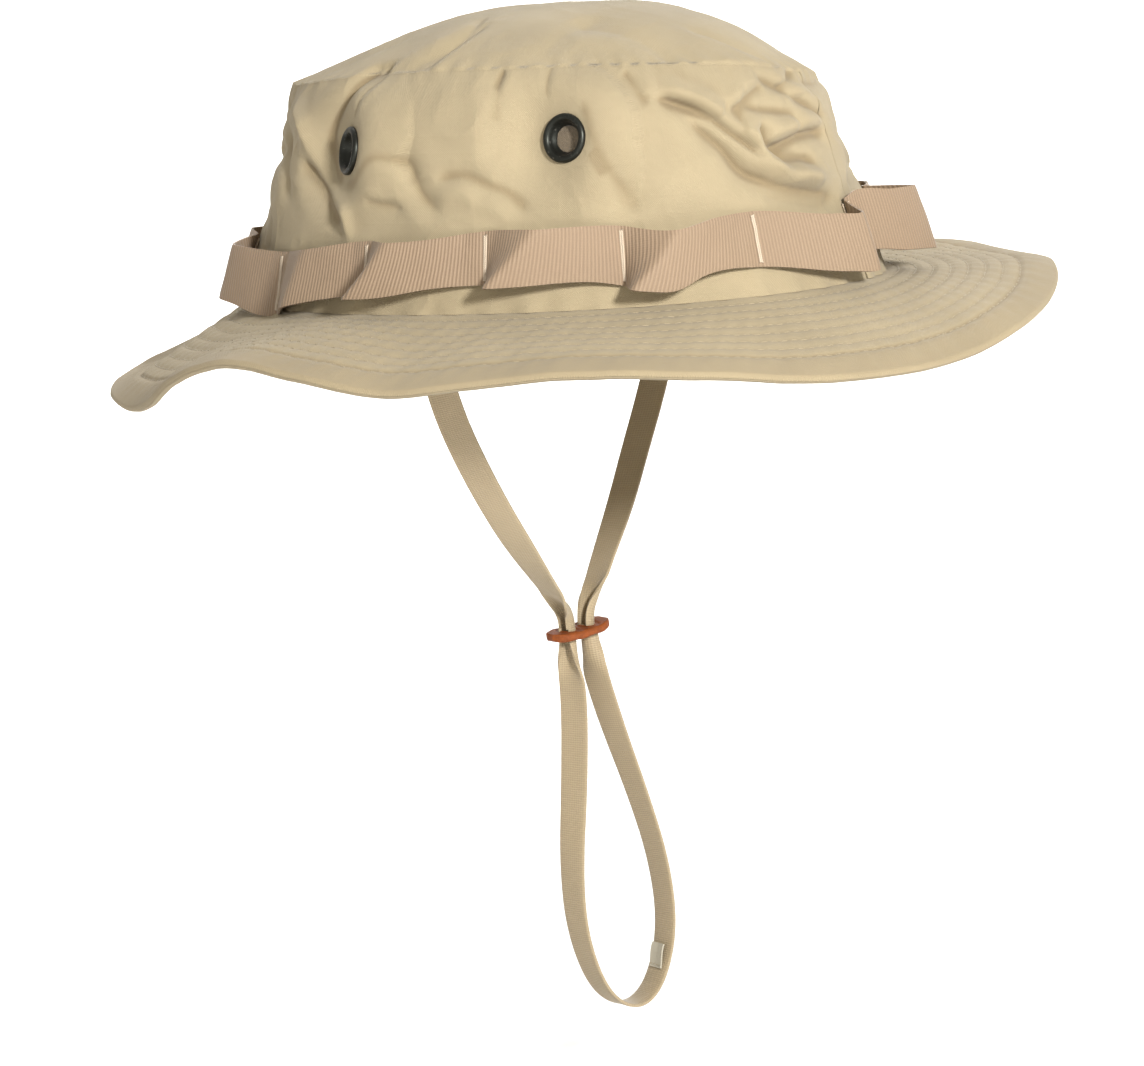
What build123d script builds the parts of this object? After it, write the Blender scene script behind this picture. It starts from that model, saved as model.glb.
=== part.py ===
"""Boonie hat: soft crown with mesh vents, wavy stitched brim, branch-loop webbing and a chin strap.

Millimetres. The origin is the centre of the head opening, in the plane of the seam that joins the
crown to the brim. +X is the front of the hat, +Y its left side, +Z up. The hat is held up by the
head that wears it, so the chin strap hangs below the origin.
"""
import os
from math import cos, radians, sin, tan

from build123d import *

# ---- head opening and crown
HEAD_A, HEAD_B = 101.0, 83.5        # inner half length and half width of the sweatband: a 58 cm head
SWEATBAND_T = 1.3
SWEATBAND_H = 30.0
CLOTH_T = 1.2                       # crown cloth with its turned seams
CROWN_H = 72.0                      # brim seam to top seam
BASE_A = HEAD_A + SWEATBAND_T + CLOTH_T
BASE_B = HEAD_B + SWEATBAND_T + CLOTH_T
TOP_A, TOP_B = 86.0, 71.0           # half length and half width at the top seam
DOME_H = 15.0                       # rise of the top panel above its seam
DOME_STEPS = ((0.0, 1.0), (0.45, 0.92), (0.8, 0.72), (1.0, 0.36))   # share of rise, share of width
SEWN_GAP = 0.05                     # between two cloths that lie on each other

# ---- brim
PLY_T = 0.8                         # each of the brim's three plies
BRIM_W = 54.5                       # beyond the crown's foot
SEAM_LEDGE = 0.5                    # level ledge round the crown's foot
HEM_FROM = 0.79                     # share of the width where the stiffening ply ends
# How far the brim droops below level, by station round the head opening, both in degrees.
BRIM_DROOP = (
    (0, 15), (12, 9), (24, 4), (42, 2), (60, 1), (78, 4), (98, 9), (120, 14), (142, 18), (163, 17),
    (175, 22.5), (187, 27.5), (198, 30), (209, 31), (221, 31.5), (231, 26), (240, 15.5), (250, 8.5), (262, 13),
    (273, 18.8), (283, 16.2), (297, 14), (311, 17.2), (323, 21.4), (335, 23), (348, 20.5),
)

# ---- branch-loop webbing
LOOPS = 14
LOOP_FROM = 46.6 / 592.0            # share of the way round from the front to the first tack
WEB_H, WEB_T = 20.0, 1.2
WEB_Z = 7.0                         # lower edge above the brim seam
WEB_CLEAR = 0.3
LOOP_BULGE = 8.0                    # how far each loop's crest stands off the band line
TACK_W, TACK_H, TACK_DEPTH = 2.2, 16.0, 9.0
TACK_PROUD = 0.5

# ---- vents
VENTS = {                           # angle round the hat and height of each
    "front_left": (65.5, 51.0), "rear_left": (113, 49.0),
    "rear_right": (-113, 49.0), "front_right": (-65.5, 51.0),
}
FLANGE_R, BARREL_R, VENT_R = 8.0, 4.9, 4.25
FLANGE_T, FLANGE_ROUND = 0.9, 0.54
BARREL_END = 2.5                    # barrel's end behind the crown's outer face
BORE_REACH = 5.0                    # cuts reach this far each side of the outer face
WASHER_T, WASHER_FROM = 0.7, 1.6
SCREEN_T, SCREEN_FROM = 0.4, 1.0
SCREEN_PITCH, SCREEN_HOLE, SCREEN_COUNT = 1.2, 0.8, 5

# ---- chin strap, flat woven tape
STRAP_W, STRAP_T = 9.5, 1.6
STRAP_STATION = 93.0                # where its ends are sewn in, each side of the hat
STRAP_START = -0.5                  # height where the hanging strap meets its sewn end
END_H, END_CLEAR = 14.0, 0.6        # sewn length, and its stand-off from the sweatband
SLIDER_HEADING = 62.0               # the slider and the loop below it hang twisted by this much
SLIDER_Y, SLIDER_TOP = -6.5, -109.8
SLIDER_L, SLIDER_D, SLIDER_T = 23.5, 14.0, 2.8
SLOT_PITCH, SLOT_CLEAR = 7.6, 0.3
TAG_L, TAG_W, TAG_T, TAG_CLEAR = 8.0, 6.0, 0.6, 0.5
LABEL_W, LABEL_H, LABEL_T = 24.0, 20.0, 0.5
LABEL_STAND = 1.5                   # the flat label's middle stands off the curved sweatband
ARC_SHARE = 0.45                    # of the shorter run beside a corner of the strap's route

h_dir = Vector(cos(radians(SLIDER_HEADING)), sin(radians(SLIDER_HEADING)), 0)
slot_near = -SLOT_PITCH / 2
slot_far = SLOT_PITCH / 2


def in_loop_plane(h, z):
    """A point of the hanging plane that the slider and the loop share."""
    return Vector(0, SLIDER_Y, z) + h_dir * h


# Routes of the strap: right strand, left strand, and the loop below the slider.
ROUTE_RIGHT = [
    (-5.3, -82.1, STRAP_START), (-5.3, -81.9, -14), (-5.1, -73.7, -33), (-4.2, -60.9, -52), (-3.2, -45.4, -71),
    (-2.2, -29, -88), (-2.2, -16, -99.5), in_loop_plane(slot_near, -105),
    in_loop_plane(slot_near, SLIDER_TOP),
]
ROUTE_LEFT = [
    (-5.3, 82.1, STRAP_START), (-5.3, 81.9, -13), (-3.2, 72.7, -31), (-2, 59.2, -45.5), (-1.1, 44.7, -60),
    (0.1, 29, -76), (0.5, 12.5, -91.5), (1.5, 2, -101), in_loop_plane(slot_far, -105.4),
    in_loop_plane(slot_far, SLIDER_TOP),
]
ROUTE_LOOP = [in_loop_plane(h, z) for h, z in (
    (slot_near, SLIDER_TOP), (slot_near, -119), (-3.1, -136), (-5.2, -161), (-8.4, -187),
    (-7.8, -208), (-2, -226), (6, -235), (15, -236.5), (23, -229), (28.2, -212), (26.2, -190),
    (19.4, -167), (11.5, -145), (6, -127), (slot_far, -117), (slot_far, SLIDER_TOP),
)]
TAG_RUN = 9                         # the loop's run that carries the tag


def wall_ellipse(height, inset=0.0):
    """Half axes of the crown's side at a height, moved in by inset."""
    share = height / CROWN_H
    return (BASE_A + (TOP_A - BASE_A) * share - inset, BASE_B + (TOP_B - BASE_B) * share - inset)


def wall_plane(angle, height, inset=0.0):
    """Plane that lies on the crown's side: its z points out of the hat, its x runs round it."""
    a, b = wall_ellipse(height, inset)
    slope_a, slope_b = (TOP_A - BASE_A) / CROWN_H, (TOP_B - BASE_B) / CROWN_H
    c, s = cos(radians(angle)), sin(radians(angle))
    normal = Vector(b * c, a * s, -(a * slope_b * s * s + b * slope_a * c * c))
    return Plane(origin=(a * c, b * s, height), x_dir=(-a * s, b * c, 0), z_dir=normal)


def brim_point(station, droop, share):
    """A point of the brim's top face, a share of the way from the crown's foot to the edge."""
    a, b = BASE_A + SEAM_LEDGE, BASE_B + SEAM_LEDGE
    c, s = cos(radians(station)), sin(radians(station))
    out = Vector(b * c, a * s, 0).normalized() * BRIM_W * share
    fall = BRIM_W * share * sin(radians(droop))
    return Vector(a * c, b * s, -fall) + out * cos(radians(droop))


def corner_radii(points):
    """Arc radius at each corner: a share of its shorter run over the tangent of half the turn."""
    radii = []
    for before, at, after in zip(points, points[1:], points[2:]):
        run_in, run_out = Vector(at) - Vector(before), Vector(after) - Vector(at)
        turn = run_in.get_angle(run_out)
        radii.append(ARC_SHARE * min(run_in.length, run_out.length) / tan(radians(turn / 2)))
    return radii


def crown_cone(height, inset):
    """The filled crown from its foot to a height, moved in by inset."""
    with BuildPart() as cone:
        for level in (0, height):
            with BuildSketch(Plane.XY.offset(level)):
                Ellipse(*wall_ellipse(level, inset))
        loft(ruled=True)
    return cone.part


def finish(builder, label):
    """Label a finished piece and write it."""
    builder.part.label = label
    export_step(builder.part, f"parts/{label}.step")


os.makedirs("parts", exist_ok=True)

# ---- crown side: two panels that meet at the front and the back seam
crown_outer = crown_cone(CROWN_H, 0)
crown_inner = crown_cone(CROWN_H, CLOTH_T)
with BuildPart() as crown_side:
    add(crown_outer)
    add(crown_inner, mode=Mode.SUBTRACT)
    for angle, height in VENTS.values():
        with BuildSketch(wall_plane(angle, height)):
            Circle(BARREL_R)
        extrude(amount=BORE_REACH, both=True, mode=Mode.SUBTRACT)

for side, kept in (("right", Keep.TOP), ("left", Keep.BOTTOM)):
    with BuildPart() as crown_half:
        add(crown_side.part)
        split(bisect_by=Plane.XZ, keep=kept)
    finish(crown_half, f"crown_side_{side}")

# ---- crown top: a low dome on the side's upper edge
with BuildPart() as crown_top:
    for inset, mode in ((0, Mode.ADD), (CLOTH_T, Mode.SUBTRACT)):
        for rise, width in DOME_STEPS:
            drop = inset if rise else 0
            with BuildSketch(Plane.XY.offset(CROWN_H + DOME_H * rise - drop)):
                Ellipse(TOP_A * width - inset, TOP_B * width - inset)
        loft(mode=mode)
finish(crown_top, "crown_top")

# ---- sweatband, inside the crown's foot
band_outer = crown_cone(SWEATBAND_H, CLOTH_T + SEWN_GAP)
band_inner = crown_cone(SWEATBAND_H, CLOTH_T + SWEATBAND_T)
with BuildPart() as sweatband:
    add(band_outer)
    add(band_inner, mode=Mode.SUBTRACT)
finish(sweatband, "sweatband")

with BuildPart() as care_label:
    with BuildSketch(wall_plane(180, SWEATBAND_H / 2, CLOTH_T + SWEATBAND_T).offset(-LABEL_STAND)):
        Rectangle(LABEL_W, LABEL_H)
    extrude(amount=-LABEL_T)
finish(care_label, "care_label")

# ---- brim: two cloth plies over a stiffening ply, and the turned-in hem along the edge
with BuildLine() as foot_line:
    EllipticalCenterArc((0, 0), BASE_A + SEAM_LEDGE, BASE_B + SEAM_LEDGE, arc_size=360)
with BuildLine() as edge_line:
    Spline([brim_point(station, droop, 1) for station, droop in BRIM_DROOP], periodic=True)
hem_points = [brim_point(station, droop, HEM_FROM) for station, droop in BRIM_DROOP]
brim_face = Face.make_surface_from_curves(foot_line.edges()[0], edge_line.edges()[0])


def ply(depth):
    """One ply of the brim, from depth to depth + PLY_T below the top face."""
    with BuildPart() as sheet:
        with BuildSketch(Plane.XY.offset(-depth - PLY_T)):
            Ellipse(BASE_A + SEAM_LEDGE, BASE_B + SEAM_LEDGE)
            Ellipse(HEAD_A, HEAD_B, mode=Mode.SUBTRACT)
        extrude(amount=PLY_T)
        extrude(to_extrude=brim_face.moved(Location((0, 0, -depth))), amount=PLY_T, dir=(0, 0, -1))
    return sheet


brim_upper = ply(0)
finish(brim_upper, "brim_upper")
brim_lower = ply(2 * PLY_T)
finish(brim_lower, "brim_lower")

middle_ply = ply(PLY_T)
with BuildPart() as hem_cutter:
    with BuildSketch(Plane.XY.offset(-BRIM_W)):
        with BuildLine():
            Spline([(point.X, point.Y) for point in hem_points], periodic=True)
        make_face()
    extrude(amount=2 * BRIM_W)
with BuildPart() as brim_interlining:
    add(middle_ply.part)
    add(hem_cutter.part, mode=Mode.INTERSECT)
finish(brim_interlining, "brim_interlining")
with BuildPart() as brim_hem:
    add(middle_ply.part)
    add(hem_cutter.part, mode=Mode.SUBTRACT)
finish(brim_hem, "brim_hem")

# ---- branch loops: one webbing band, tacked to the crown and standing off it between the tacks
band_a, band_b = wall_ellipse(WEB_Z, -WEB_CLEAR)
with BuildLine() as band_path:
    EllipticalCenterArc((0, 0), band_a, band_b, arc_size=360)
band_edge = band_path.edges()[0]


def round_crown(step, stand_off):
    """A point at a step round the crown, clockwise from the first tack, off the band line."""
    share = (1 - LOOP_FROM - step / LOOPS) % 1
    along = band_edge % share
    return band_edge @ share + Vector(along.Y, -along.X, 0) * stand_off


def band_block(extra):
    """The filled block inside the looped outline, moved out by extra."""
    with BuildPart() as block:
        with BuildSketch(Plane.XY.offset(WEB_Z)):
            with BuildLine():
                for step in range(LOOPS):
                    ThreePointArc(
                        round_crown(step, extra),
                        round_crown(step + 0.5, LOOP_BULGE + extra),
                        round_crown(step + 1, extra),
                    )
            make_face()
        extrude(amount=WEB_H)
    return block.part


def tack_plane(step):
    """Plane across the band at a tack, its z pointing out of the hat."""
    foot, ahead = round_crown(step, 0), round_crown(step, 1)
    out = ahead - foot
    middle = foot + out * (WEB_T + TACK_PROUD - TACK_DEPTH / 2) + Vector(0, 0, WEB_Z + WEB_H / 2)
    return Plane(origin=middle, x_dir=(0, 0, 1), z_dir=out)


with BuildPart() as branch_loop_tacks:
    with Locations(*[tack_plane(step) for step in range(LOOPS)]):
        Box(TACK_H, TACK_W, TACK_DEPTH)
    add(crown_outer, mode=Mode.SUBTRACT)
finish(branch_loop_tacks, "branch_loop_tacks")

band_outside, band_inside = band_block(WEB_T), band_block(0)
with BuildPart() as branch_loop_band:
    add(band_outside)
    add(band_inside, mode=Mode.SUBTRACT)
    add(branch_loop_tacks.part, mode=Mode.SUBTRACT)
finish(branch_loop_band, "branch_loop_band")

# ---- vents: a brass eyelet through the crown's side, its washer and a screen inside the barrel
for place, (angle, height) in VENTS.items():
    face = wall_plane(angle, height)
    with BuildPart() as eyelet:
        with BuildSketch(face):
            Circle(FLANGE_R)
        extrude(amount=FLANGE_T)
        fillet(eyelet.faces().sort_by(Axis(face.origin, face.z_dir))[-1].edges(), FLANGE_ROUND)
        with BuildSketch(face):
            Circle(BARREL_R)
        extrude(amount=-BARREL_END)
        with BuildSketch(face):
            Circle(VENT_R)
        extrude(amount=BORE_REACH, both=True, mode=Mode.SUBTRACT)
    finish(eyelet, f"vent_eyelet_{place}")

    with BuildPart() as washer:
        with BuildSketch(face.offset(-WASHER_FROM)):
            Circle(FLANGE_R)
            Circle(BARREL_R, mode=Mode.SUBTRACT)
        extrude(amount=-WASHER_T)
    finish(washer, f"vent_washer_{place}")

    with BuildPart() as screen:
        with BuildSketch(face.offset(-SCREEN_FROM)):
            Circle(VENT_R)
            with GridLocations(SCREEN_PITCH, SCREEN_PITCH, SCREEN_COUNT, SCREEN_COUNT):
                Rectangle(SCREEN_HOLE, SCREEN_HOLE, mode=Mode.SUBTRACT)
        extrude(amount=-SCREEN_T)
    finish(screen, f"vent_screen_{place}")


# ---- chin strap
def tape(name, route, cross_dir):
    """A flat tape along a route: its width keeps to one direction, its arcs fill the corners."""
    radii = corner_radii(route)
    with BuildPart() as strip:
        with BuildLine() as path:
            FilletPolyline(*route, radius=radii)
        line = path.wires()[0]
        with BuildSketch(Plane(origin=line @ 0, x_dir=cross_dir, z_dir=line % 0)):
            Rectangle(STRAP_W, STRAP_T)
        sweep(path=line)
    share = strip.part.volume / (line.length * STRAP_W * STRAP_T)
    print(name, "length", round(line.length, 1), "volume share", round(share, 3))
    print("  arc radii", [round(radius, 1) for radius in radii])
    finish(strip, name)
    return strip


front = Vector(1, 0, 0)
across = Vector(h_dir.Y, -h_dir.X, 0)
strap_upper_right = tape("strap_upper_right", ROUTE_RIGHT, front)
strap_upper_left = tape("strap_upper_left", ROUTE_LEFT, front)
strap_loop = tape("strap_loop", ROUTE_LOOP, across)

# The strap's two sewn ends lie on the sweatband and stop at the swinging strap.
for side, station in (("right", -STRAP_STATION), ("left", STRAP_STATION)):
    sweatband_face = wall_plane(station, 0, CLOTH_T + SWEATBAND_T)
    with BuildPart() as strap_end:
        with BuildSketch(sweatband_face.offset(-END_CLEAR)):
            Rectangle(STRAP_W, 2 * END_H)
        extrude(amount=-STRAP_T)
        split(bisect_by=Plane.XY.offset(STRAP_START + SEWN_GAP), keep=Keep.TOP)
    finish(strap_end, f"strap_end_{side}")

# Slider: a leather tab that lies level, with one slot for each strand.
slider_top = Plane(origin=in_loop_plane(0, SLIDER_TOP), x_dir=h_dir, z_dir=(0, 0, 1))
with BuildPart() as strap_slider:
    with BuildSketch(slider_top):
        SlotOverall(SLIDER_L, SLIDER_D)
        with Locations((slot_near, 0), (slot_far, 0)):
            Rectangle(STRAP_T + 2 * SLOT_CLEAR, STRAP_W + 2 * SLOT_CLEAR, mode=Mode.SUBTRACT)
    extrude(amount=-SLIDER_T)
finish(strap_slider, "strap_slider")

# A small blank tag sewn to the inner face of the loop's far strand.
run_start, run_end = ROUTE_LOOP[TAG_RUN], ROUTE_LOOP[TAG_RUN + 1]
run = (run_end - run_start).normalized()
inward = across.cross(run)
tag_origin = (run_start + run_end) / 2 + inward * (STRAP_T / 2 + TAG_CLEAR)
tag_plane = Plane(origin=tag_origin, x_dir=run, z_dir=inward)
with BuildPart() as strap_tag:
    with BuildSketch(tag_plane):
        Rectangle(TAG_L, TAG_W)
    extrude(amount=TAG_T)
finish(strap_tag, "strap_tag")
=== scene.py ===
"""Boonie hat: cloth, webbing, vents and chin strap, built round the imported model.

Shapes are worked out in millimetres in the part's frame and turned into metres where a mesh is made.
A station is an angle round the head opening in degrees: 0 is the front, 90 the hat's left side,
270 its right side. Folds are drawn as (station, height) lines on the crown.
"""
from math import cos, pi, radians, sin

import bpy
import numpy as np
from mathutils import Matrix, Vector, noise


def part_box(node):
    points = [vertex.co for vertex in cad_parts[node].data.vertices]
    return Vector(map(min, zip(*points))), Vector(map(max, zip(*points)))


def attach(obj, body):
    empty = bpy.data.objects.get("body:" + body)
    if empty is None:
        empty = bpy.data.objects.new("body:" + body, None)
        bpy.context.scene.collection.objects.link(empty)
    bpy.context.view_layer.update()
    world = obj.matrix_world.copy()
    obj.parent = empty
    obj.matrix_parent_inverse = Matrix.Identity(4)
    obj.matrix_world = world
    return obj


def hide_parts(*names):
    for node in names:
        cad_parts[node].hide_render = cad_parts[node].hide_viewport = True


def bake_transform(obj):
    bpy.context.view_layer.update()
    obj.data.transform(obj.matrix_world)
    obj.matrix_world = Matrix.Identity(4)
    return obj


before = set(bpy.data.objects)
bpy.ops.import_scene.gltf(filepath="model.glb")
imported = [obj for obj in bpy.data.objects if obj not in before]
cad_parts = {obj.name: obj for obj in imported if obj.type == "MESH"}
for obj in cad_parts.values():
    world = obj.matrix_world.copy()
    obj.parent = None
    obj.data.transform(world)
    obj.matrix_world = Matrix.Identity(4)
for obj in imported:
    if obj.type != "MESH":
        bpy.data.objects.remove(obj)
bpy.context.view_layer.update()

MM = 0.001
RISE = np.array([0, 0, 1.0])

# ---- crown
BASE_A, BASE_B = 103.5, 86.0  # outer half axes at the brim seam
TOP_A, TOP_B = 86.0, 71.0  # and at the top seam
CROWN_H = 72.0
CROWN_T = 1.1
PEAK_Z = 88.4
SEAM_HEIGHT = ((23, 62.3), (60, 66), (100, 69), (150, 71), (203, 67.5), (250, 72), (297, 72), (330, 70))
DOME_POWER = ((23, 3.0), (60, 3.0), (113, 2.8), (170, 2.1), (203, 1.7), (235, 2.2), (270, 2.8), (300, 2.8),
              (335, 2.9))
SHOULDER_H = 20.0  # the side's upper edge rounds in over this height
SHOULDER = ((23, 3.2), (60, 5.0), (113, 7.5), (170, 3.8), (203, 1.8), (235, 4.6), (270, 8.0), (303, 8.0),
            (340, 4.2))
SWEATBAND_H, SWEATBAND_T = 30.0, 1.3

# ---- brim
BRIM_W = 54.5
FOOT_A, FOOT_B = 104.0, 86.5
PLY_T = 0.8
HEM_LINE = 42.5  # from the crown's foot to the hem's stitches
ROW_PITCH, ROWS = 5.5, 8
BRIM_DROOP = (
    (0, 14.5), (12, 7.5), (24, 2.6), (42, 2), (60, 1), (78, 4), (98, 9), (120, 14), (142, 18), (163, 17),
    (175, 22.5), (187, 26.5), (198, 28.0), (209, 29.3), (221, 31.0), (231, 26), (240, 15.5), (250, 8.5),
    (262, 13), (273, 18.8), (283, 16.2), (297, 14), (311, 17.2), (323, 21.4), (335, 23), (348, 20.5),
)
# How far the brim stands above a straight line from foot to edge, at the hem's stitches.
BRIM_CURL = (
    (0, 1.5), (40, 1), (90, 0.8), (150, 0.4), (175, -1.8), (190, -2.2), (205, -0.8), (216, 2.2), (228, 2.5),
    (240, 1.8), (256, 0.8), (275, 1.2), (310, 1.2), (335, 1.8),
)

# ---- webbing: the heights of its lower and upper edges
LOOPS = 14
LOOP_FROM = 46.6 / 592.0
WEB_W, WEB_T = 19.0, 1.2
WEB_RIB = 1.15
WEB_LOW = (
    (205, 4), (218, 1.5), (229, -2), (241, 3), (251, 5.5), (261, 6), (270, 8.2), (285, 8.6), (298, 8.4),
    (306, 5.6), (311, 4.8), (317, 8.4), (330, 8.6), (347, 4.6), (353.5, 4.0), (358.5, 8.0), (10, 7.0),
    (24, 5.4), (50, 8), (80, 6.5), (110, 7), (140, 4), (170, 3),
)
WEB_HIGH = (
    (205, 21), (218, 19.3), (231, 18), (242, 19.7), (253, 22), (268, 22.7), (280, 24.8), (290, 25.3),
    (303, 24.5), (311, 22.6), (321, 25), (330, 25.3), (347, 22.2), (353.5, 22.0), (358.5, 26.5), (10, 26.2),
    (24, 25.7), (50, 25), (80, 24), (110, 24), (140, 21.5), (170, 20),
)

# ---- vents: station, height, and how far the folds beside each turn it to the back, in degrees
VENTS = {
    "front_left": (65.5, 51.0, 0.0), "rear_left": (113, 49.0, 0.0),
    "rear_right": (-113, 49.0, 24.0), "front_right": (-65.5, 51.0, 28.0),
}
FLAT_R, SOFT_R = 8.5, 27.0  # cloth lies flat round a vent, then takes up its folds again

# ---- strap: the routes of the right strand, the left strand and the loop, as in the part's source
STRAP_W, STRAP_T = 9.5, 1.3
SLIDER_HEADING = radians(62.0)
SLIDER_Y, SLIDER_TOP = -6.5, -109.8
SLOT = 3.8


def in_loop_plane(h, z):
    """A point of the hanging plane that the slider and the loop share."""
    return (h * cos(SLIDER_HEADING), SLIDER_Y + h * sin(SLIDER_HEADING), z)


ROUTE_RIGHT = [
    (-5.3, -82.1, -0.5), (-5.3, -81.9, -14), (-5.1, -73.7, -33), (-4.2, -60.9, -52), (-3.2, -45.4, -71),
    (-2.2, -29, -88), (-2.2, -16, -99.5), in_loop_plane(-SLOT, -105), in_loop_plane(-SLOT, SLIDER_TOP),
]
ROUTE_LEFT = [
    (-5.3, 82.1, -0.5), (-5.3, 81.9, -13), (-3.2, 72.7, -31), (-2, 59.2, -45.5), (-1.1, 44.7, -60),
    (0.1, 29, -76), (0.5, 12.5, -91.5), (1.5, 2, -101), in_loop_plane(SLOT, -105.4),
    in_loop_plane(SLOT, SLIDER_TOP),
]
ROUTE_LOOP = [in_loop_plane(h, z) for h, z in (
    (-SLOT, SLIDER_TOP), (-SLOT, -119), (-3.1, -136), (-5.2, -161), (-8.4, -187), (-7.8, -208),
    (-2, -226), (6, -235), (15, -236.5), (23, -229), (28.2, -212), (26.2, -190), (19.4, -167),
    (11.5, -145), (6, -127), (SLOT, -117), (SLOT, SLIDER_TOP),
)]


# ---- small tools
def link(thing):
    """Puts an object in the scene."""
    bpy.context.scene.collection.objects.link(thing)
    return thing


def unit(vectors):
    """Vectors of length one."""
    return vectors / np.maximum(np.linalg.norm(vectors, axis=-1, keepdims=True), 1e-9)


def smooth(low, high, value):
    """Smooth step from 0 at low to 1 at high."""
    share = np.clip((value - low) / (high - low), 0, 1)
    return share * share * (3 - 2 * share)


def hump(value, at, width):
    """A soft hump of height 1."""
    return np.exp(-((value - at) / width) ** 2)


def around(table, station):
    """Smooth value round the hat through (station, value) pairs."""
    s, v = np.array(sorted((s % 360, v) for s, v in table), float).T
    s = np.concatenate([s[-2:] - 360, s, s[:2] + 360])
    v = np.concatenate([v[-2:], v, v[:2]])
    slope = np.gradient(v, s)
    at = np.mod(station, 360)
    i = np.clip(np.searchsorted(s, at, side="right") - 1, 1, len(s) - 3)
    run = s[i + 1] - s[i]
    t = (at - s[i]) / run
    return (v[i] * (2 * t**3 - 3 * t**2 + 1) + slope[i] * run * (t**3 - 2 * t**2 + t)
            + v[i + 1] * (3 * t**2 - 2 * t**3) + slope[i + 1] * run * (t**3 - t**2))


def ripple(station, pitch, beats, sway=2.0, shift=0.0):
    """A wave from -1 to 1 round the hat that comes and goes unevenly. pitch is in degrees."""
    return np.sin(station * 2 * pi / pitch + shift + sway * np.sin(np.radians(station * beats)))


def oval(a, b, station, z):
    """Points on an oval of half axes a and b at a height, and the level directions out from it."""
    c, s = np.cos(np.radians(station)), np.sin(np.radians(station))
    return np.stack([a * c, b * s, z + 0 * c], -1), unit(np.stack([b * c, a * s, 0 * c], -1))


def through(points, count):
    """count points on a smooth line through a few points (Catmull-Rom)."""
    p = np.array(points, float)
    p = np.vstack([2 * p[0] - p[1], p, 2 * p[-1] - p[-2]])
    at = np.linspace(0, len(p) - 3 - 1e-6, count)
    i = at.astype(int)
    t = (at - i)[:, None]
    a, b, c, d = p[i], p[i + 1], p[i + 2], p[i + 3]
    return 0.5 * (2 * b + (c - a) * t + (2 * a - 5 * b + 4 * c - d) * t**2 + (3 * b - a - 3 * c + d) * t**3)


def turns(sides):
    """Angles at even steps of a whole turn, as a column."""
    return np.linspace(0, 2 * pi, sides, endpoint=False)[:, None]


def stations(columns):
    """Stations at even steps all the way round."""
    return np.linspace(0, 360, columns, endpoint=False)


def way(line):
    """How far along a line each of its points is."""
    return np.concatenate([[0], np.cumsum(np.linalg.norm(np.diff(line, axis=0), axis=1))])


def on_way(at, run, values):
    """Values of a line's points, read between them at distances along it."""
    return np.stack([np.interp(at, run, column) for column in values.T], -1)


def rough(points, size, seed=0.0):
    """Smooth noise from -1 to 1 at points, with features of a size in millimetres."""
    flat = points.reshape(-1, 3) / size + seed
    return np.array([noise.noise(p) for p in flat]).reshape(points.shape[:-1])


def creased(points, size):
    """Crumpled noise from 0 to 1: thin crests between smooth hollows."""
    return (1 - np.abs(rough(points, size, 7.7))) ** 7


def read(items, name, size=1):
    """The whole numbers that all of a mesh's items hold under a name."""
    values = np.zeros(len(items) * size, int)
    items.foreach_get(name, values)
    return values


def add_mesh(name, points, faces, material, cloth=None, period=None, rim=0, painted_shade=None):
    """A mesh object from points in millimetres. cloth gives each point its place on the flat cloth, which
    closes on itself after a period. The last rim faces are a cloth's cut edge, and meet its two faces at
    a crisp corner. The last argument is each point's painted shade, from 0 to 1: how far the cloth's
    colour is darkened where shade falls in creases and sewn rows."""
    mesh = bpy.data.meshes.new(name)
    mesh.from_pydata((np.asarray(points, float) * MM).tolist(), [], [tuple(int(i) for i in f) for f in faces])
    if cloth is not None:
        uv = np.asarray(cloth, float)[read(mesh.loops, "vertex_index")]
        if period:
            starts, totals = read(mesh.polygons, "loop_start"), read(mesh.polygons, "loop_total")
            highest = np.repeat(np.maximum.reduceat(uv[:, 0], starts), totals)
            uv[highest - uv[:, 0] > period / 2, 0] += period
        mesh.uv_layers.new(name="cloth").data.foreach_set("uv", (uv * MM).ravel())
    if painted_shade is not None:
        mesh.attributes.new("painted_shade", "FLOAT", "POINT").data.foreach_set("value", np.asarray(painted_shade, float))
    mesh.materials.append(material)
    mesh.shade_smooth()
    if rim:
        cut = np.array(faces[-rim:])
        key = (len(points), 1)
        corners = np.sort(np.vstack([cut[:, :2], cut[:, 2:]]), axis=1) @ key
        edges = np.sort(read(mesh.edges, "vertices", 2).reshape(-1, 2), axis=1) @ key
        mesh.edges.foreach_set("use_edge_sharp", np.isin(edges, corners))
    mesh.validate()
    return link(bpy.data.objects.new(name, mesh))


def grid_quads(rows, columns, wrap=False):
    """Quads of a grid of points, [rows - 1, columns - 1 or columns, 4]."""
    index = np.arange(rows * columns).reshape(rows, columns)
    if wrap:
        index = np.hstack([index, index[:, :1]])
    return np.stack([index[:-1, :-1], index[:-1, 1:], index[1:, 1:], index[1:, :-1]], -1)


def shell_faces(quads, count):
    """Outer quads, the same quads on the inner points, and a rim wherever the outer ones end."""
    start, end = quads.ravel(), np.roll(quads, -1, axis=1).ravel()
    open_edge = ~np.isin(start * count + end, end * count + start)
    rim = np.stack([end, start, start + count, end + count], -1)[open_edge]
    return np.vstack([quads, quads[:, ::-1] + count, rim]), len(rim)


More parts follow.
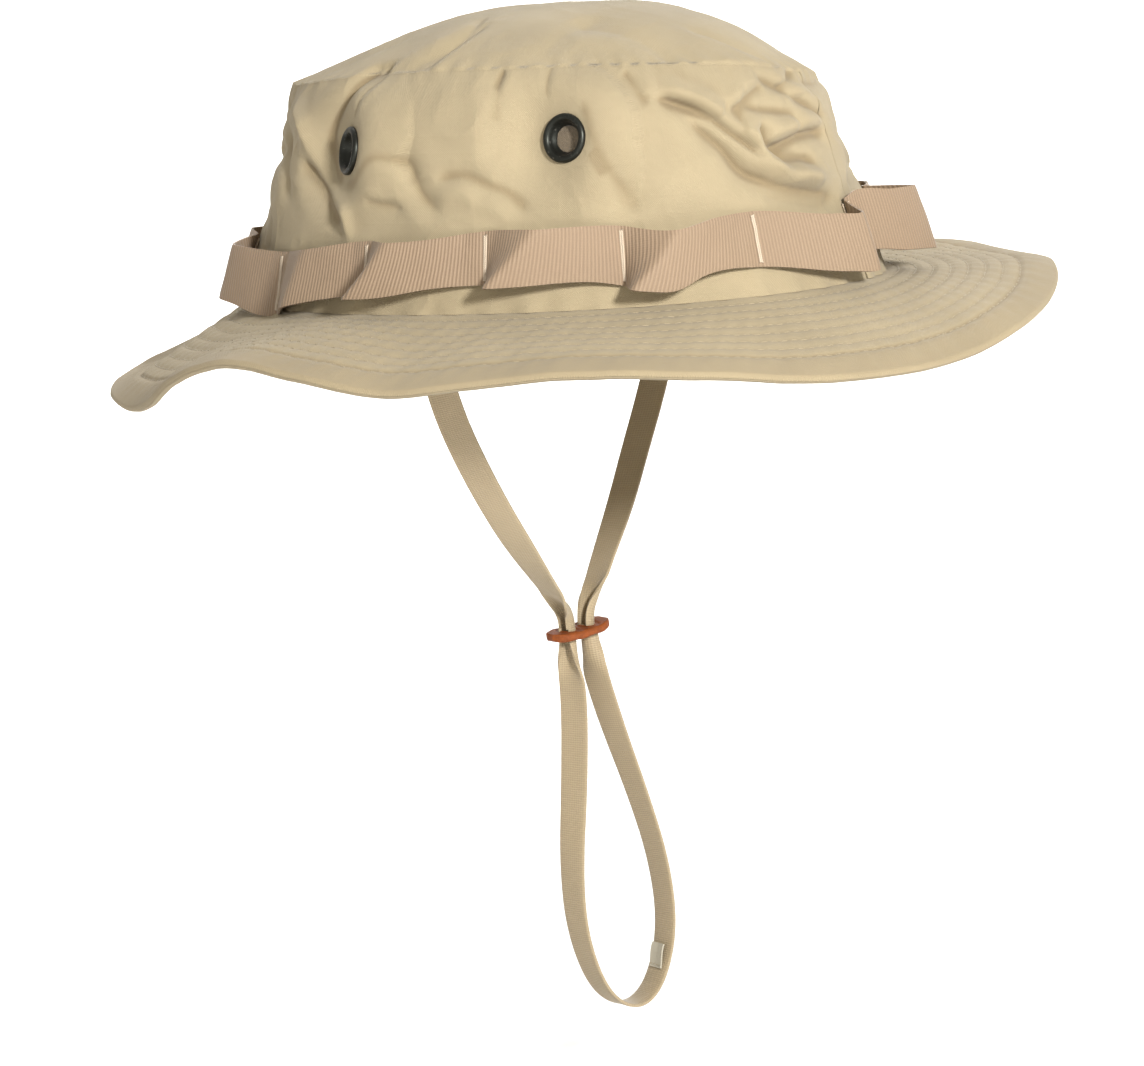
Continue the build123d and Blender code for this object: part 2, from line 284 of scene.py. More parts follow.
def shell(name, outer, inner, material, cloth=None, wrap=False, keep=None, period=None, painted_shade=None):
    """A closed cloth between two grids of points. keep says which quads are there."""
    quads = grid_quads(*outer.shape[:2], wrap)
    quads = quads.reshape(-1, 4) if keep is None else quads[keep]
    faces, rim = shell_faces(quads, outer[..., 0].size)
    used, fresh = np.unique(faces, return_inverse=True)
    points = np.vstack([outer.reshape(-1, 3), inner.reshape(-1, 3)])[used]
    uv = None if cloth is None else np.vstack([cloth.reshape(-1, 2)] * 2)[used]
    creases = None if painted_shade is None else np.concatenate([painted_shade.ravel()] * 2)[used]
    return add_mesh(name, points, fresh.reshape(-1, 4), material, uv, period, rim, creases)


def normals(points, wrap=False):
    """Unit normals of a grid of points: along the columns crossed with along the rows."""
    along = np.roll(points, -1, 1) - np.roll(points, 1, 1) if wrap else np.gradient(points, axis=1)
    return unit(np.cross(along, np.gradient(points, axis=0)))


def tube(line, radius, sides=6, up=(0, 0, 1)):
    """Points and faces of a thread along a line, closed at both ends."""
    along = unit(np.gradient(line, axis=0))
    across = unit(np.cross(along, np.broadcast_to(up, along.shape)))
    above = np.cross(across, along)
    ring = across[:, None] * np.cos(turns(sides)) + above[:, None] * np.sin(turns(sides))
    points = (line[:, None] + ring * np.broadcast_to(radius, len(line))[:, None, None]).reshape(-1, 3)
    faces = list(map(tuple, grid_quads(len(line), sides, wrap=True).reshape(-1, 4)))
    last = len(points) - 1
    return points, [*faces, tuple(range(sides)), tuple(range(last, last - sides, -1))]


def join(parts):
    """Points and faces of several meshes as one."""
    points, faces, count = [], [], 0
    for p, f in parts:
        points.append(p)
        faces.extend(tuple(i + count for i in face) for face in f)
        count += len(p)
    return np.vstack(points), faces


def stitches(path, above, length=2.7, gap=0.7, thick=0.2, lift=0.12):
    """Thread stitches along a fine path: each dips into the cloth at both ends."""
    run = way(path)
    parts = []
    for start in np.arange(0, run[-1] - length, length + gap):
        at = start + np.linspace(0, length, 5)
        up = unit(on_way(at, run, above))
        line = on_way(at, run, path) + up * (lift * np.array([-2.2, 0.6, 1, 0.6, -2.2]))[:, None]
        parts.append(tube(line, thick * np.array([0.6, 1, 1, 1, 0.6]), 5, up))
    return join(parts)


def stitches_round(face, up, rows, **look):
    """Stitches along rows of a cloth's face that go all the way round."""
    return [stitches(*(np.vstack([grid[row], grid[row][:1]]) for grid in (face, up)), **look) for row in rows]


def rides(piece, slot, *replaced, body="hat"):
    """Puts a piece on a body, and hides the parts it stands for. slot, its finish, is not used."""
    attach(piece, body)
    if replaced:
        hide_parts(*replaced)
    return piece


def sew(name, parts, material, *replaced, body="hat"):
    """All the stitches of one seam as a piece."""
    rides(add_mesh(name, *join(parts), material), "tack_thread", *replaced, body=body)


# ---- camera
def make_camera():
    """Camera at 27 degrees round from the hat's right side, 5.5 degrees up, rolled a little."""
    azimuth, elevation, roll = radians(27.02), radians(5.46), radians(-3.57)
    distance = 1.6
    aim = Vector((0.0017, -0.0098, -0.0791))
    place = Vector((sin(azimuth) * cos(elevation), -cos(azimuth) * cos(elevation), sin(elevation))) * distance
    turn = (place - aim).to_track_quat("Z", "Y").to_matrix().to_4x4() @ Matrix.Rotation(roll, 4, "Z")
    data = bpy.data.cameras.new("camera")
    data.lens = 158.1
    data.sensor_width = 36.0
    data.clip_end = 20.0
    camera = link(bpy.data.objects.new("camera", data))
    camera.matrix_world = Matrix.Translation(place) @ turn
    bpy.context.scene.camera = camera
    bpy.context.scene.view_settings.view_transform = "Standard"


make_camera()


# ---- materials
def shade(colour, factor):
    return tuple(c * factor for c in colour)


class Material:
    """A material being built from nodes."""

    def __init__(self, name):
        self.material = bpy.data.materials.new(name)
        self.material.use_nodes = True
        self.tree = self.material.node_tree
        self.shader = self.tree.nodes["Principled BSDF"]

    def node(self, kind, inputs=None, **settings):
        made = self.tree.nodes.new("ShaderNode" + kind)
        for key, value in settings.items():
            setattr(made, key, value)
        for key, value in (inputs or {}).items():
            self.put(made.inputs[key], value)
        return made

    def put(self, socket, value):
        if isinstance(value, bpy.types.NodeSocket):
            self.tree.links.new(value, socket)
        else:
            socket.default_value = value

    def math(self, operation, a, b=0.0, c=0.0):
        return self.node("Math", {0: a, 1: b, 2: c}, operation=operation).outputs[0]

    def cloth(self):
        """Place on the flat cloth in millimetres, across and along."""
        apart = self.node("SeparateXYZ", {0: self.node("UVMap", uv_map="cloth").outputs[0]})
        return [self.math("MULTIPLY", apart.outputs[k], 1000.0) for k in (0, 1)]

    def wave(self, value, pitch, phase=0.0):
        """A wave from 0 to 1 that repeats every pitch millimetres."""
        turned = self.math("MULTIPLY_ADD", value, 2 * pi / pitch, phase)
        return self.math("MULTIPLY_ADD", self.math("SINE", turned), 0.5, 0.5)

    def place(self):
        return self.node("TexCoord").outputs["Object"]

    def mottle(self, scale, detail=3.0, rough_share=0.5):
        """Noise from 0 to 1 over the object, scale per metre."""
        return self.node("TexNoise", {"Vector": self.place(), "Scale": scale, "Detail": detail,
                                      "Roughness": rough_share}).outputs[0]

    def shades(self, value, colour, *stops):
        """Shades of a colour for a value, through (value, factor) stops."""
        made = self.node("ValToRGB", {0: value})
        elements = made.color_ramp.elements
        for place, _ in stops[1:-1]:
            elements.new(place)
        for element, (place, factor) in zip(elements, stops):
            element.position = place
            element.color = (*shade(colour, factor), 1)
        return made.outputs[0]

    def mix(self, share, first, second):
        made = self.node("Mix", data_type="RGBA")
        for key, value in ((0, share), (6, first), (7, second)):
            self.put(made.inputs[key], (*value, 1) if isinstance(value, tuple) else value)
        return made.outputs[2]

    def tint(self, tone, colour, *layers):
        """A tone taken part of the way to shades of a colour, by (value, share, factor) layers."""
        for value, share, factor in layers:
            tone = self.mix(self.math("MULTIPLY", value, share), tone, shade(colour, factor))
        return tone

    def bump(self, *layers):
        """Bump from (height, distance in millimetres) layers."""
        normal = None
        for height, distance in layers:
            made = self.node("Bump", {"Height": height, "Distance": distance * MM, "Strength": 1.0})
            if normal is not None:
                self.put(made.inputs["Normal"], normal)
            normal = made.outputs[0]
        self.put(self.shader.inputs["Normal"], normal)

    def finish(self, colour, roughness, **values):
        """Sets the shader. roughness is a number, or (value, share, start)."""
        if isinstance(roughness, tuple):
            roughness = self.math("MULTIPLY_ADD", *roughness)
        self.put(self.shader.inputs["Base Color"], colour)
        self.put(self.shader.inputs["Roughness"], roughness)
        for key, value in values.items():
            self.shader.inputs[key.replace("_", " ")].default_value = value
        return self.material


def ripstop(name, colour, fade=0.10):
    """Plain-woven cotton with a faint heavier thread every few millimetres."""
    m = Material(name)
    across, along = m.cloth()
    weave = m.math("MULTIPLY", m.wave(across, 0.62), m.wave(along, 0.62))
    weave = m.math("ADD", weave, m.math("MULTIPLY", m.wave(across, 0.62, pi), m.wave(along, 0.62, pi)))
    drawn = m.node("CombineXYZ", {0: m.math("MULTIPLY", across, 0.15), 1: m.math("MULTIPLY", along, 1.6)})
    slubs = m.node("TexNoise", {"Vector": drawn.outputs[0], "Scale": 1.0, "Detail": 2.0}).outputs[0]
    heavy = m.math("MAXIMUM", *(m.math("POWER", m.wave(run, 5.2), 14.0) for run in (across, along)))
    tone = m.shades(m.mottle(38.0, 4.0), colour, (0.30, 1 - fade), (0.52, 1), (0.74, 1 + fade))
    tone = m.tint(tone, colour, (slubs, 0.12, 0.72), (heavy, 0.10, 1.08), (weave, 0.16, 0.70))
    # painted shade: a share given per point by the mesh takes the cloth towards a darker, warmer tone in
    # creases and sewn rows
    deep = m.node("Attribute", attribute_name="painted_shade").outputs["Fac"]
    tone = m.mix(deep, tone, tuple(c * k for c, k in zip(colour, (0.56, 0.50, 0.42))))
    m.bump((m.mottle(420.0), 0.16), (weave, 0.10), (heavy, 0.025))
    return m.finish(tone, (m.mottle(90.0), 0.12, 0.80), Sheen_Weight=0.12, Sheen_Roughness=0.55,
                    Specular_IOR_Level=0.22)


def webbing(name, colour, rib):
    """Ribbed webbing: cords across its width, each crossed by fine weft."""
    m = Material(name)
    across, along = m.cloth()
    ribs, weft = m.wave(across, rib), m.wave(along, 0.55)
    tilt = m.wave(m.math("MULTIPLY_ADD", across, 0.9, along), 1.3)
    weave = m.math("MULTIPLY_ADD", ribs, 0.86, m.math("MULTIPLY", weft, 0.14))
    tone = m.shades(weave, colour, (0.05, 0.80), (0.45, 1), (0.95, 1.13))
    tone = m.tint(tone, colour, (tilt, 0.14, 0.78), (m.mottle(60.0), 0.35, 1.12))
    m.bump((weave, 0.16), (m.mottle(700.0, 2.0), 0.08))
    return m.finish(tone, (ribs, -0.12, 0.72), Sheen_Weight=0.2, Sheen_Roughness=0.4, Specular_IOR_Level=0.3)


def flat_tape(name, colour, width):
    """Woven tape: fine ribs across its length, fine warp lines along it, and firm selvedges."""
    m = Material(name)
    across, along = m.cloth()
    ribs, warp = m.wave(along, 0.72), m.wave(across, 0.85)
    edge = m.math("GREATER_THAN", m.math("ABSOLUTE", across), width / 2 - 0.8)
    weave = m.math("MULTIPLY_ADD", ribs, 0.65, m.math("MULTIPLY", warp, 0.35))
    tone = m.shades(weave, colour, (0.05, 0.80), (0.5, 1), (0.95, 1.12))
    tone = m.tint(tone, colour, (edge, 0.30, 1.12), (m.mottle(55.0), 0.3, 0.86))
    m.bump((weave, 0.14), (m.mottle(800.0, 2.0), 0.06))
    return m.finish(tone, (ribs, -0.1, 0.70), Sheen_Weight=0.15, Sheen_Roughness=0.5, Specular_IOR_Level=0.35)


def thread(name, colour):
    """Sewing thread, two plies twisted."""
    m = Material(name)
    twist = m.node("TexWave", {"Vector": m.place(), "Scale": 900.0, "Distortion": 2.0, "Detail": 2.0},
                   bands_direction="DIAGONAL").outputs[1]
    m.bump((twist, 0.06))
    return m.finish(m.shades(twist, colour, (0.2, 0.8), (0.8, 1.08)), (twist, 0.15, 0.6), Sheen_Weight=0.2)


def leather(name, colour):
    """Waxed leather: pores, a broad tone change and burnished edges."""
    m = Material(name)
    pores = m.node("TexVoronoi", {"Vector": m.place(), "Scale": 1500.0}).outputs[0]
    creases = m.mottle(420.0, 6.0, 0.65)
    worn = m.math("SUBTRACT", m.node("NewGeometry").outputs["Pointiness"], 0.5)
    tone = m.shades(creases, colour, (0.32, 0.66), (0.55, 1), (0.75, 1.25))
    m.bump((pores, 0.12), (creases, 0.16))
    return m.finish(m.tint(tone, colour, (worn, 1.5, 1.5)), (creases, 0.3, 0.48), Specular_IOR_Level=0.25)


def aged_metal(name, colour, bright):
    """Blackened brass with rubbed rims and small scratches."""
    m = Material(name)
    scuffs, patches = m.mottle(900.0, 8.0, 0.7), m.mottle(170.0)
    wear = m.math("MULTIPLY", m.math("GREATER_THAN", scuffs, 0.62), m.math("MULTIPLY", patches, 0.8))
    m.bump((scuffs, 0.03), (patches, 0.05))
    return m.finish(m.mix(wear, colour, bright), (patches, 0.3, 0.26), Metallic=0.85)


KHAKI = (0.360, 0.292, 0.180)
crown_cloth = ripstop("crown_ripstop", KHAKI)
brim_cloth = ripstop("brim_ripstop", shade(KHAKI, 0.97), fade=0.08)
lining_cloth = ripstop("undyed_canvas", (0.45, 0.42, 0.34), fade=0.05)
band_cloth = flat_tape("sweatband_twill", (0.27, 0.21, 0.135), SWEATBAND_H)
label_cloth = ripstop("woven_label", (0.50, 0.47, 0.40), fade=0.04)
loop_web = webbing("branch_webbing", (0.272, 0.192, 0.124), WEB_RIB)
strap_web = flat_tape("strap_tape", (0.335, 0.262, 0.160), STRAP_W)
tag_cloth = ripstop("tag_cloth", (0.42, 0.385, 0.30), fade=0.05)
tack_thread = thread("tack_thread", (0.62, 0.51, 0.38))
cloth_thread = thread("seam_thread", shade(KHAKI, 1.02))
slider_leather = leather("slider_leather", (0.205, 0.050, 0.009))
black_brass = aged_metal("blackened_brass", (0.030, 0.031, 0.026), (0.22, 0.21, 0.18))
wire_metal = thread("screen_wire", (0.17, 0.128, 0.080))


# ---- crown
# Each fold: depth (below 0 a valley), width, ridge beside it as a share of the depth
# (above 0 on the left of the line's run), and the line itself in (station, height).
FOLDS = (
    (-3.0, 2.0, 0.55, ((314, 61), (320, 58), (324, 55), (330, 48), (336, 40))),
    (-2.4, 2.8, 0.45, ((319, 55), (326, 46), (330, 38), (334, 34), (338, 31), (346, 28), (355, 26))),
    (1.1, 3.4, 0.00, ((322, 57), (329, 48), (335, 41), (343, 36), (354, 33))),
    (-1.8, 3.4, 0.30, ((328, 57), (330, 54), (333, 52))),
    (-1.2, 1.8, 0.50, ((330, 55), (336, 59), (342, 62))),
    (-1.3, 1.9, -0.4, ((334, 56), (342, 54), (348, 52), (350, 47))),
    (-2.0, 2.3, -0.4, ((338, 52), (337, 46), (340, 42), (342, 39), (346, 39), (352, 37))),
    (-2.3, 2.1, 0.50, ((338, 42), (346, 45), (352, 46), (360, 46))),
    (-1.2, 1.5, 0.60, ((358, 65), (352, 62), (347, 60))),
    (-1.5, 2.0, 0.40, ((341, 65), (348, 60), (356, 54), (362, 50))),
    (-1.4, 4.2, 0.25, ((300, 63), (304, 44), (307, 27))),
    (-0.8, 4.0, 0.00, ((301, 46), (303, 38))),
    (-0.6, 1.3, 0.30, ((292, 72), (291, 63))),
    (-0.6, 1.3, 0.30, ((281, 72), (280, 66))),
    (-0.9, 2.2, 0.30, ((308, 70), (312, 59))),
    (2.0, 2.7, 0.00, ((220, 64), (229, 57), (233, 49), (238, 42), (243, 36), (248, 31), (250, 22))),
    (-3.6, 3.6, 0.00, ((252, 73), (244, 70), (240, 62), (237, 54), (240, 45), (244, 37))),
    (-0.9, 1.4, 0.50, ((252, 71), (249, 65), (248, 58))),
    (-1.7, 1.9, 0.40, ((231, 46), (236, 40), (242, 33), (247, 27))),
    (-1.2, 2.6, -0.4,
     ((246, 39), (251, 39), (254, 42), (258, 46), (262, 45), (264, 40), (266, 35), (270, 30))),
    (-0.6, 1.3, 0.40, ((254, 34), (262, 32))),
    (-1.2, 2.5, -0.5, ((268, 40), (274, 41), (279, 38), (283, 35), (287, 29))),
    (-0.7, 3.2, 0.00, ((281, 72), (280, 56))),
    (-0.7, 4.0, 0.00, ((190, 44), (203, 34), (213, 25))),
    (-1.2, 4.5, 0.00, ((188, 48), (203, 56), (214, 67))),
    (-1.0, 5.5, -0.3, ((193, 30), (203, 42), (216, 48))),
    (-1.2, 6.0, 0.00, ((184, 30), (203, 25), (219, 16))),
    (-1.9, 6.0, -0.2, ((10, 30), (22, 42), (31, 47), (45, 49))),
    (-1.7, 5.5, -0.2, ((12, 42), (23, 32), (38, 20))),
    (-1.0, 3.6, -0.2, ((13, 66), (23, 54), (28, 38))),
    (-1.0, 2.6, -0.4, ((28, 60), (38, 52), (48, 33))),
    (-0.9, 2.2, 0.00, ((352, 62), (368, 60), (380, 64))),
)
FOLD_SCALE, FOLD_WIDTH = 1.60, 0.95 # all folds together: deeper, and a little narrower
FAR_SIDE_SHARE = 0.7  # the side turned away carries the same folds, half a turn on
MEAN_R = 95.0  # folds are drawn on the crown's side as if it were round
PUFF = 0.8  # the cloth stands off the plain cone between its seams
BAND_TOP, DEEPEST = 31.0, -0.75  # the sweatband stops deep valleys below its upper edge
CREASE_SHADE = 0.62  # painted shade: the cloth is drawn darker and warmer in its creases
SIDE_ROWS, SIDE_COLUMNS = 98, 451
HOLE_R = 6.0


def wall_axes(z, inset=0.0):
    """Half axes of the plain crown at a height, or of an oval inside it."""
    share = z / CROWN_H
    return BASE_A + (TOP_A - BASE_A) * share - inset, BASE_B + (TOP_B - BASE_B) * share - inset


def near_line(x, y, line):
    """Distance of points from a line, the side they lie on, and how far along it, from 0 to 1."""
    near = np.full(x.shape, 1e9)
    side, along = np.zeros(x.shape), np.zeros(x.shape)
    run = way(line)
    for (x0, y0), (x1, y1), done, length in zip(line, line[1:], run, np.diff(run)):
        dx, dy = (x1 - x0) / length, (y1 - y0) / length
        t = np.clip((x - x0) * dx + (y - y0) * dy, 0, length)
        ox, oy = x - x0 - t * dx, y - y0 - t * dy
        distance = np.hypot(ox, oy)
        closer = distance < near
        near = np.where(closer, distance, near)
        side = np.where(closer, np.sign(dx * oy - dy * ox), side)
        along = np.where(closer, (done + t) / run[-1], along)
    return near, side, along


def add_fold(relief, x, y, line, depth, width, ridge):
    """Adds one fold to a relief: a crisp valley, steeper on its ridge's side, and the ridge."""
    line = through(line, 5 * len(line))
    reach = 5.5 * width
    (low_x, low_y), (high_x, high_y) = line.min(0) - reach, line.max(0) + reach
    close = (x > low_x) & (x < high_x) & (y > low_y) & (y < high_y)
    near, side, along = near_line(x[close], y[close], line)
    fade = smooth(-0.06, 0.16, along) * smooth(-0.06, 0.16, 1 - along)
    steep = side == np.sign(ridge)
    wide = np.where(steep, 0.85 * width, 1.35 * width) if ridge else width
    shape = np.exp(-(near / wide) ** 1.45)
    if ridge:
        shape = shape - abs(ridge) * np.exp(-(np.abs(near - 2.3 * width) / (1.5 * width)) ** 1.8) * steep
    relief[close] += depth * fade * shape


def crown_relief(station, z):
    """How far the crown's cloth stands in or out of the plain cone."""
    relief = np.zeros(station.shape)
    for turn, share in ((0, 1.0), (180, FAR_SIDE_SHARE)):
        for depth, width, ridge, line in FOLDS:
            line = np.array(line, float) - (turn, 0)
            middle = line[:, 0].mean()
            x = np.radians((station - middle + 180) % 360 - 180 + middle) * MEAN_R
            line[:, 0] = np.radians(line[:, 0]) * MEAN_R
            add_fold(relief, x, z, line, share * depth * FOLD_SCALE, width * FOLD_WIDTH, ridge)
    relief += PUFF * smooth(3, 16, z) * smooth(CROWN_H, 56, z)
    low = smooth(BAND_TOP + 5, BAND_TOP - 1, z)
    return relief * (1 - low) + np.maximum(relief, DEEPEST) * low


def soft_mean(grid, rows, columns):
    """A grid averaged over a window, its edges repeated."""
    for axis, size in ((0, rows), (1, columns)):
        wide = [(0, 0), (0, 0)]
        wide[axis] = (size + 1, size)
        total = np.cumsum(np.pad(grid, wide, mode="edge"), axis=axis)
        last = total.shape[axis]
        grid = (np.take(total, range(2 * size + 1, last), axis)
                - np.take(total, range(last - 2 * size - 1), axis)) / (2 * size + 1)
    return grid


def seam_pucker(station, away, reach):
    """The small puckers along the top seam, which die out away from it."""
    return 0.22 * ripple(station, 5.3, 7) * np.exp(-away / reach)


def vent_frame(place):
    """Centre of a vent and its three directions: round the hat, up the wall and outward."""
    station, z, tilt = VENTS[place]
    a, b = wall_axes(z)
    c, s = cos(radians(station)), sin(radians(station))
    slope_a, slope_b = (TOP_A - BASE_A) / CROWN_H, (TOP_B - BASE_B) / CROWN_H
    axis = unit(np.array([b * c, a * s, -(a * slope_b * s * s + b * slope_a * c * c)]))
    axis = axis * cos(radians(tilt)) - unit(np.cross(RISE, axis)) * sin(radians(tilt))
    across = unit(np.cross(RISE, axis))
    return np.array([a * c, b * s, z]), across, np.cross(axis, across), axis


def from_vent(points, place):
    """How far points stand out along a vent's axis, how far they are from it, and the axis."""
    centre, _, _, axis = vent_frame(place)
    offset = points - centre
    depth = (offset * axis).sum(-1)
    return depth, np.linalg.norm(offset - depth[..., None] * axis, axis=-1), axis


def crown_side_points(station, share):
    """Outer face of the crown's side. share runs from the brim seam, 0, to the top seam, 1."""
    seam = around(SEAM_HEIGHT, station)
    z = seam * share
    plain, out = oval(*wall_axes(z), station, z)
    tuck = np.clip(1 - (seam - z) / SHOULDER_H, 0, 1)
    relief = crown_relief(station, z) - around(SHOULDER, station) * tuck**2.5 + 0.9 * np.exp(-(z / 9.0))
    relief += seam_pucker(station, seam - z, 4.5) + 0.45 * ripple(station, 7.1, 5, 1) * np.exp(-(z / 4.0))
    relief += 0.36 * rough(plain, 17.0) + 0.15 * rough(plain, 6.5, 3.7) + 0.42 * creased(plain, 16.0)
    points = plain + out * relief[..., None]
    for place in VENTS:
        depth, radius, axis = from_vent(points, place)
        flat = (1 - smooth(FLAT_R, SOFT_R, radius)) * (np.abs(depth) < 12)
        points = points - (flat * depth)[..., None] * axis
    return points


def make_crown_side(side, first, last):
    """One side panel, with holes for its two vents."""
    station, share = np.meshgrid(np.linspace(first, last, SIDE_COLUMNS), np.linspace(0, 1, SIDE_ROWS))
    outer = crown_side_points(station, share)
    inner = outer - normals(outer) * CROWN_T
    middle = (outer[:-1, :-1] + outer[1:, 1:]) / 2
    keep = np.ones(middle.shape[:2], bool)
    for place in VENTS:
        depth, radius, _ = from_vent(middle, place)
        keep &= (radius > HOLE_R) | (np.abs(depth) > 8)
    cloth = np.stack([np.radians(station) * MEAN_R, outer[..., 2]], -1)
    # painted shade: the cloth's colour darkens where it lies below its neighbours, in the creases
    relief = crown_relief(station, around(SEAM_HEIGHT, station) * share)
    painted_shade = smooth(0.05, 1.5, soft_mean(relief, 7, 9) - relief) * CREASE_SHADE
    piece = shell(f"crown_side_{side}_cloth", outer, inner, crown_cloth, cloth, keep=keep, painted_shade=painted_shade)
    rides(piece, "crown_cloth", f"crown_side_{side}")


make_crown_side("left", 0.12, 179.88)
make_crown_side("right", 180.12, 359.88)

# Folds of the top panel: depth, width, ridge, and the line as (share of the radius, station).
TOP_FOLDS = (
    (-1.3, 2.6, 0.4, ((1.0, 252), (0.88, 256), (0.70, 263), (0.5, 268))),
    (-1.2, 2.2, -0.4, ((1.0, 257), (0.84, 261), (0.62, 263), (0.42, 258))),
    (-1.4, 2.6, 0.3, ((1.0, 352), (0.86, 347), (0.70, 338))),
    (-1.2, 4.0, 0.3, ((0.95, 322), (0.75, 318), (0.55, 300))),
    (-0.9, 4.5, 0.2, ((0.9, 288), (0.7, 296), (0.5, 318))),
    (-1.0, 3.5, 0.3, ((0.98, 215), (0.8, 222), (0.6, 235))),
    (-1.2, 3.2, 0.3, ((1.0, 12), (0.8, 20), (0.6, 30))),
    (-1.0, 3.5, 0.3, ((1.0, 75), (0.8, 82), (0.5, 88))),
    (-1.1, 3.0, -0.3, ((1.0, 130), (0.8, 122), (0.6, 126))),
    (-0.9, 4.0, 0.3, ((0.97, 165), (0.75, 172), (0.5, 160))),
)
TOP_RINGS, TOP_COLUMNS = 60, 600
TOP_T = 1.0
LAP = 0.6  # the top panel's edge is turned down over the side's
TOP_R = 78.0


def make_crown_top():
    """The round top panel, a soft low dome lapped over the sides' upper edge."""
    station = stations(TOP_COLUMNS)
    edge, below = (crown_side_points(station[None], np.full((1, TOP_COLUMNS), share))[0]
                   for share in (1.0, 1 - LAP / 70))
    outward = unit(np.stack([edge[:, 0] / TOP_A**2, edge[:, 1] / TOP_B**2, 0 * station], -1))
    r = np.linspace(1, 0.012, TOP_RINGS)[:, None] ** 0.85
    from_rim = (1 - r) * TOP_R
    lean = around(SHOULDER, station)
    plain, _ = oval(TOP_A - lean, TOP_B - lean, station, edge[:, 2])
    points = r[..., None] * (plain + (edge - plain) * hump(from_rim, 0, 5.0)[..., None])
    points[..., 2] = edge[:, 2] + (PEAK_Z - edge[:, 2]) * (1 - r ** around(DOME_POWER, station)) + 0.1
    relief = np.zeros(points.shape[:2])
    for depth, width, ridge, line in TOP_FOLDS:
        drawn = [(TOP_A * r * cos(radians(s)), TOP_B * r * sin(radians(s))) for r, s in line]
        add_fold(relief, points[..., 0], points[..., 1], drawn, depth, width, ridge)
    relief *= smooth(0, 4.0, from_rim + 1.5)
    relief += seam_pucker(station, from_rim, 3.0)
    relief += 0.45 * rough(points, 22.0, 1.3) + 0.12 * rough(points, 7.0, 9.1) + 0.25 * creased(points, 19.0)
    points[..., 2] += relief
    points = np.concatenate([[below + outward * 0.08], [edge + outward * 0.09 + RISE * 0.05], points])
    up = np.broadcast_to(RISE, points.shape).copy()
    up[0], up[1] = outward, unit(outward + RISE)
    inner = points - up * TOP_T
    rows, count = len(points), len(points) * TOP_COLUMNS
    quads = grid_quads(rows, TOP_COLUMNS, wrap=True).reshape(-1, 4)
    i = np.arange(TOP_COLUMNS)
    j = np.roll(i, -1)
    last = count - TOP_COLUMNS
    outer_fan = np.stack([last + i, last + j, 2 * count + 0 * i], -1)
    inner_fan = np.stack([count + last + j, count + last + i, 2 * count + 1 + 0 * i], -1)
    lap_rim = np.stack([j, i, i + count, j + count], -1)
    faces = [*quads, *(quads[:, ::-1] + count), *outer_fan, *inner_fan, *lap_rim]
    poles = np.array([points[-1].mean(0), inner[-1].mean(0)])
    points = np.vstack([points.reshape(-1, 3), inner.reshape(-1, 3), poles])
    piece = add_mesh("crown_top_cloth", points, faces, crown_cloth, points[:, :2], rim=TOP_COLUMNS)
    rides(piece, "crown_cloth", "crown_top")


make_crown_top()


# ---- brim
BRIM_COLUMNS, BRIM_ROWS = 560, 96
CORE_COLUMNS, CORE_ROWS = 280, 40
INNER_SHARE = -0.055  # the plies run in under the crown to the sweatband
EDGE_ROUND = 1.2  # radius of the turned edge
BRIM_R = 120.0  # the brim's cloth is woven as if round at this radius
BRIM_ROUND = 2 * pi * BRIM_R
PLY_GAP = 0.02


def brim_points(station, reach):
    """Top face of the brim at a distance out from the crown's foot, before its sewn rows."""
    droop = np.radians(around(BRIM_DROOP, station))
    share = np.clip(reach / BRIM_W, 0, 1)
    hem = HEM_LINE / BRIM_W
    inward, outward = np.clip(share / hem, 0, 1), np.clip((share - hem) / (1 - hem), 0, 1)
    rise = np.where(share < hem, np.sin(pi / 2 * inward) ** 1.25, np.abs(np.cos(pi / 2 * outward)) ** 0.9)
    lift = around(BRIM_CURL, station) * rise
    level = np.where(reach < 0, reach, reach * np.cos(droop) + lift * np.sin(droop))
    fall = np.where(reach < 0, 0, reach * np.sin(droop) - lift * np.cos(droop))
    foot, out = oval(FOOT_A, FOOT_B, station, -fall)
    return foot + out * level[..., None]


def row_relief(reach):
    """The sewn rows pull the plies in; the cloth stands up a little between them."""
    relief = 0.35 * smooth(HEM_LINE + 0.5, HEM_LINE + 3.5, reach)
    for k in range(ROWS):
        depth, width = (0.62, 0.8) if k == 0 else (0.36, 1.15)
        relief -= depth * hump(reach, HEM_LINE - k * ROW_PITCH, width)
    return relief


def brim_waves(points, station, reach):
    """Small unevenness of the stitched cloth, the same for every ply."""
    drag = 0.132 * ripple(station, 3.4, 3, shift=reach * 0.35)
    drag *= smooth(0, 12, reach) * smooth(BRIM_W, BRIM_W - 8, reach)
    return (0.75 * rough(points, 34.0, 5.1) + 0.22 * rough(points, 11.0, 2.2)) * smooth(0, 14, reach) + drag


def brim_grid(columns, rows):
    """Reaches, points and upward directions of the brim's top face, and its flat cloth."""
    station, reach = np.meshgrid(stations(columns), np.linspace(INNER_SHARE * BRIM_W, BRIM_W, rows))
    points = brim_points(station, reach)
    up = -normals(points, wrap=True)
    points = points + up * brim_waves(points, station, reach)[..., None]
    return reach, points, up, np.stack([np.radians(station) * BRIM_R, reach], -1)


